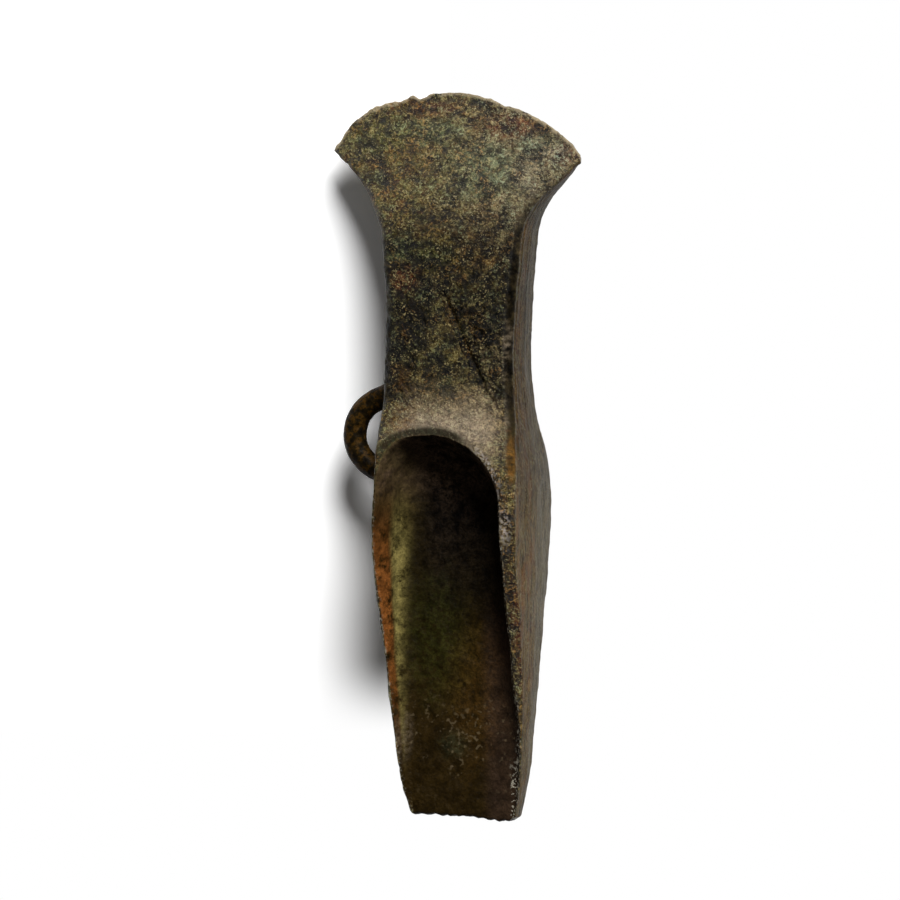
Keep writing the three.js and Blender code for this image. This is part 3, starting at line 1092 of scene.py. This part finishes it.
class Nodes:
    """Short ways to add and join nodes. A zone's name can stand for the zone wherever a value can."""

    def __init__(self, owner):
        owner.use_nodes = True
        self.tree = owner.node_tree
        self.tree.nodes.clear()
        self.where = self.add("TexCoord").outputs["Object"]

    def add(self, kind, inputs=(), **settings):
        """A node with its settings, and with (socket, value) pairs put into its inputs."""
        node = self.tree.nodes.new("ShaderNode" + kind)
        for setting, value in settings.items():
            setattr(node, setting, value)
        for socket, value in inputs:
            self.put(node.inputs[socket], value)
        return node

    def put(self, socket, value):
        if isinstance(value, str):
            value = self.add("Attribute", attribute_name=value).outputs["Fac"]
        if isinstance(value, bpy.types.NodeSocket):
            self.tree.links.new(value, socket)
        else:
            socket.default_value = value

    def math(self, operation, *values, clamp=False):
        return self.add("Math", enumerate(values), operation=operation, use_clamp=clamp).outputs[0]

    def times(self, product, *values):
        for value in values:
            product = self.math("MULTIPLY", product, value)
        return product

    def most(self, largest, *values):
        for value in values:
            largest = self.math("MAXIMUM", largest, value)
        return largest

    def without(self, value):
        """1 less a value."""
        return self.math("SUBTRACT", 1, value)

    def mix(self, share, below, above, blend="MIX"):
        inputs = [("Factor", share), (6, below), (7, above)]
        return self.add("Mix", inputs, data_type="RGBA", blend_type=blend).outputs[2]

    def over(self, colour, code, *shares, blend="MIX"):
        """A colour with another laid over it, as strongly as the product of the shares."""
        return self.mix(self.times(*shares), colour, from_hex(code), blend)

    def shaded(self, colour, name, stops, *shares):
        """A colour darkened by a noise's shades, as strongly as the product of the shares."""
        return self.mix(self.times(*shares), colour, self.ramp(self.noise(name), stops), "MULTIPLY")

    def stretched(self, scale):
        return self.add("Mapping", [("Vector", self.where), ("Scale", scale)]).outputs[0]

    def along(self, direction):
        inputs = [(0, self.where), (1, direction)]
        return self.add("VectorMath", inputs, operation="DOT_PRODUCT").outputs["Value"]

    def noise(self, name, where=None):
        grain, detail, roughness = noises[name]
        scales = [("Scale", 1 / grain), ("Detail", detail), ("Roughness", roughness)]
        return self.add("TexNoise", [("Vector", where or self.where), *scales]).outputs["Fac"]

    def between(self, value, start, end):
        inputs = [("Value", value), ("From Min", start), ("From Max", end)]
        return self.add("MapRange", inputs, interpolation_type="SMOOTHSTEP").outputs[0]

    def spread(self, name, where=None):
        """Where a noise is past its levels: 0 before them, 1 after them."""
        return self.between(self.noise(name, where), *levels[name])

    def ramp(self, value, stops):
        node = self.add("ValToRGB", [(0, value)])
        bar = node.color_ramp.elements
        while len(bar) < len(stops):
            bar.new(1)
        for element, (position, code) in zip(bar, stops):
            element.position = position
            element.color = from_hex(code)
        return node.outputs[0]


def find_parts(n):
    """How far each part of the surface is open, rough, deep, crusted, lit and fresh."""
    smooth_part = n.most("side", "lip", n.times("roll", rough_roll_share), "loop")
    floor_part = n.math("SUBTRACT", "slot", "under_arch", clamp=True)
    rough_floor = n.without(n.times(floor_part, rough_floor_share))
    n.open = n.without("slot")
    n.rough = n.times(n.without(n.times(smooth_part, rough_smooth_share)), rough_floor)
    n.deep = n.most("waist", "hollow")
    n.crust = n.times(n.rough, n.open, n.without(n.most("loop", "roll")))
    n.lit = n.times(n.crust, n.without(n.times(n.deep, lit_deep_share)))
    n.fresh = n.without(n.times("collar", fresh_collar_share))


def crusted(n):
    """Height of the crust: short crossing ridges over a fine grain."""
    ridge = n.math("ABSOLUTE", n.math("SUBTRACT", n.noise("ridge"), 0.5))
    ridges = n.times(n.between(ridge, *ridge_levels), ridge_share)
    grains = n.math("ADD", n.times(n.noise("fine"), fine_share), n.times(n.noise("clump"), clump_share))
    return n.math("ADD", grains, ridges)


def mottled(n):
    """The crust's own colours in patches, before the zones are laid over it."""
    patches = n.times(n.noise("patch"), patch_share)
    mottle = n.times(n.noise("mottle"), 1 - patch_share)
    return n.ramp(n.math("ADD", patches, mottle), mottle_tones)


def zoned(n, colour):
    """The colours of the zones and the spots, broken up by noise."""
    for zone, share, code in zone_layers:
        colour = n.over(colour, code, zone, share)
    breakup = n.spread("breakup")
    open_share = n.without(n.times("slot", slot_spot_share))
    for zone, share, code in spot_layers:
        colour = n.over(colour, code, zone, share, breakup, open_share)
    uneven = n.spread("uneven")
    for zone, share, code in wall_layers:
        colour = n.over(colour, code, zone, share, uneven)
    return n.over(colour, "#1a1a13", "lip", lip_share)


def streaked(n, colour):
    """Lengthwise streaks down the sides, greyer below the middle, and the loop's brown."""
    streaks = n.noise("streak", n.stretched(streak_scale))
    rusty = n.spread("rusty", n.stretched(rusty_scale))
    brown = n.over(n.ramp(streaks, brown_tones), "#74461f", rusty, rusty_share)
    sides = n.mix("low_side", brown, n.ramp(streaks, grey_tones))
    sides = n.over(sides, "#14100b", "seam", seam_share)
    sides = n.over(sides, "#a09078", "waist_side", waist_side_share, blend="MULTIPLY")
    sides = n.over(sides, "#0e0b08", "crack", crack_share)
    colour = n.mix("side", colour, sides)
    return n.mix("loop", colour, n.ramp(n.noise("band"), loop_tones))


def darkened(n, colour):
    """Uneven hues on the lit crust, then the crust's dark crevices deepened by painted shade in the low
    parts of its grain, and the dark in its deeper parts.
    """
    colour = n.mix(n.times(n.lit, n.fresh, hue_share), colour, n.ramp(n.noise("hue"), hue_tones))
    depth = n.math("SUBTRACT", shade_share, n.times("collar", shade_collar_share))
    # Painted shade over the crust's own dark crevices: colour darkened where the grain's height is low
    colour = n.mix(n.times(n.rough, depth), colour, n.ramp(n.raised, fine_shades), "MULTIPLY")
    colour = n.shaded(colour, "gap", gap_shades, n.deep, gap_share)
    colour = n.shaded(colour, "void", void_shades, n.deep, void_share)
    return n.shaded(colour, "broad", broad_shades, n.rough, n.fresh)


def lightened(n, colour):
    """Painted highlights on the crust's raised grains, light specks on the crust, and pale blobs on the
    slot's floor near the butt.
    """
    # Painted highlight: the tops of the raised grains made paler, standing in for light glinting on them
    grain_highlight = n.times(n.between(n.raised, *grain_highlight_levels), grain_highlight_share, n.fresh, n.lit)
    colour = n.mix(grain_highlight, colour, n.ramp(n.noise("light"), grain_highlight_tones))
    speck = n.times(n.spread("speck"), n.spread("cluster"), n.crust)
    n.raised = n.math("ADD", n.raised, n.times(speck, speck_height_share))
    colour = n.over(colour, "#c2b896", speck, speck_share)
    blob = n.times(n.spread("blob"), n.spread("blob_cluster"))
    colour = n.over(colour, "#86765a", blob, "butt_floor", blob_share)
    warm = n.times(n.crust, n.without("painted_light_right"))
    return n.over(colour, "#fff4d2", warm, n.fresh, blend="MULTIPLY")


def rubbed_and_highlighted(n, colour):
    """Painted highlights: pale dots on the slot's rim and the left crest, and glints beside the lip; and
    bare patches rubbed on the cutting edge.
    """
    # Painted highlight: pale dots along the rim and the left crest
    colour = n.over(colour, "#d6cfba", "rim", n.times(n.spread("dot"), highlight_dot_share))
    # Painted highlight: the glints beside the lip and on the right rim
    colour = n.over(colour, "#b9aea8", "painted_glint", n.times(n.spread("painted_glint"), painted_glint_share))
    return n.over(colour, "#a89878", "edge", n.spread("nick"), nick_share)


def sheen(n):
    """How much the surface shines: least on the sides, the loop and the damp, dark hollows."""
    damp = n.times(n.most("hollow", "waist"), dull_damp_share)
    dull = n.most(n.most(n.most("side", "loop"), n.most("roll", "lip")), damp)
    shiny = n.math("SUBTRACT", n.open, dull, clamp=True)
    return n.math("ADD", least_shine, n.times(shiny, sheen_share))


def bronze():
    """Corroded bronze: a mottled crust of fine grains on the faces, streaks along the sides."""
    material = bpy.data.materials.new("bronze_patina")
    n = Nodes(material)
    find_parts(n)
    n.raised = crusted(n)
    colour = rubbed_and_highlighted(n, lightened(n, darkened(n, streaked(n, zoned(n, mottled(n))))))
    bump = [("Strength", 1), ("Distance", bump_distance), ("Height", n.times(n.raised, n.rough))]
    inputs = [
        ("Base Color", colour),
        ("Metallic", 0),
        ("Roughness", patina_roughness),
        ("Specular IOR Level", sheen(n)),
        ("Normal", n.add("Bump", bump).outputs[0]),
    ]
    n.add("OutputMaterial", [("Surface", n.add("BsdfPrincipled", inputs).outputs[0])])
    return material


patina = bronze()
for dressed in (blade, stop, haft, loop):
    dressed.data.materials.append(patina)

# Camera, looking down at the head, rolled towards its right side
view_roll = math.radians(16.5)
picture_turn = math.radians(0.85)
view_distance = 0.9
view_width = 0.1972
sensor_width_mm = 36
middle_to_left = 0.00216
view_middle = 0.0014

towards_camera = Vector((math.sin(view_roll), 0, math.cos(view_roll)))
flat_right = Vector((0, 1, 0)).cross(towards_camera).normalized()
flat_up = towards_camera.cross(flat_right)
picture_right = flat_right * math.cos(picture_turn) - flat_up * math.sin(picture_turn)
picture_up = towards_camera.cross(picture_right)
aim = Vector((0, view_middle, stop_thickness / 2)) - flat_right * middle_to_left

camera_data = bpy.data.cameras.new("camera")
camera_data.sensor_width = sensor_width_mm
camera_data.lens = sensor_width_mm * view_distance / view_width
camera = added("camera", camera_data)
camera_turn = Matrix((picture_right, picture_up, towards_camera)).transposed()
camera.matrix_world = Matrix.Translation(aim + towards_camera * view_distance) @ camera_turn.to_4x4()
bpy.context.scene.camera = camera

# Table, touching the head at its lowest point and tilted a little away from the light
table_size = 3
table_tilt = math.radians(3)
table_share = 0.7
seen_table_share = 1.2
plain_across = (-0.005, 0)
plain_below = (-0.046, -0.064)
table_normal = towards_camera * math.cos(table_tilt) - picture_up * math.sin(table_tilt)
table_up = table_normal.cross(picture_right)
touch = float((worn @ np.array(table_normal)).min())
table_middle = aim + table_normal * (touch - table_normal.dot(aim))
table_corners = [(-1, -1), (1, -1), (1, 1), (-1, 1)]
table_mesh = bpy.data.meshes.new("table")
table_mesh.from_pydata(
    [table_middle + (picture_right * u + table_up * v) * table_size / 2 for u, v in table_corners],
    [],
    [(0, 1, 2, 3)],
)
table = added("table", table_mesh)


def table_paint():
    """Pale and taking the shadow on the left of the head, and plain white to the right and below it."""
    material = bpy.data.materials.new("table_paint")
    n = Nodes(material)
    rays = n.add("LightPath").outputs
    seen = n.most(rays["Is Camera Ray"], rays["Is Glossy Ray"], rays["Is Transmission Ray"])
    pale = (table_share, table_share, table_share, 1)
    seen_pale = (seen_table_share, seen_table_share, seen_table_share, 1)
    diffuse = n.add("BsdfDiffuse", [("Color", n.mix(seen, pale, seen_pale))])
    across = n.math("SUBTRACT", n.along(picture_right), picture_right.dot(aim))
    up = n.math("SUBTRACT", n.along(picture_up), picture_up.dot(aim))
    plain = n.most(n.between(across, *plain_across), n.between(up, *plain_below))
    surfaces = [(1, diffuse.outputs[0]), (2, n.add("Emission").outputs[0])]
    choice = n.add("MixShader", [(0, n.times(seen, plain)), *surfaces])
    n.add("OutputMaterial", [("Surface", choice.outputs[0])])
    return material


table_mesh.materials.append(table_paint())

# Light: one broad soft light from beyond the blade and a little from the right, with a low even fill
key_strength = 4.6
key_spread = math.radians(26)
key_right_share = 0.27
key_blade_share = 1.05
fill_strength = 0.1

key_data = bpy.data.lights.new("key", "SUN")
key_data.energy = key_strength
key_data.angle = key_spread
key = added("key", key_data)
key_from = towards_camera + picture_right * key_right_share + picture_up * key_blade_share
key.rotation_mode = "QUATERNION"
key.rotation_quaternion = key_from.normalized().to_track_quat("Z", "Y")


def surroundings():
    """Plain white where the camera sees them, and a low even fill for the light."""
    world = bpy.data.worlds.new("surroundings")
    n = Nodes(world)
    white = (1, 1, 1, 1)
    fill = n.add("Background", [("Color", white), ("Strength", fill_strength)])
    plain = n.add("Background", [("Color", white), ("Strength", 1)])
    seen = n.add("LightPath").outputs["Is Camera Ray"]
    choice = n.add("MixShader", [(0, seen), (1, fill.outputs[0]), (2, plain.outputs[0])])
    n.add("OutputWorld", [("Surface", choice.outputs[0])])
    bpy.context.scene.world = world


surroundings()
bpy.context.scene.view_settings.view_transform = "Standard"
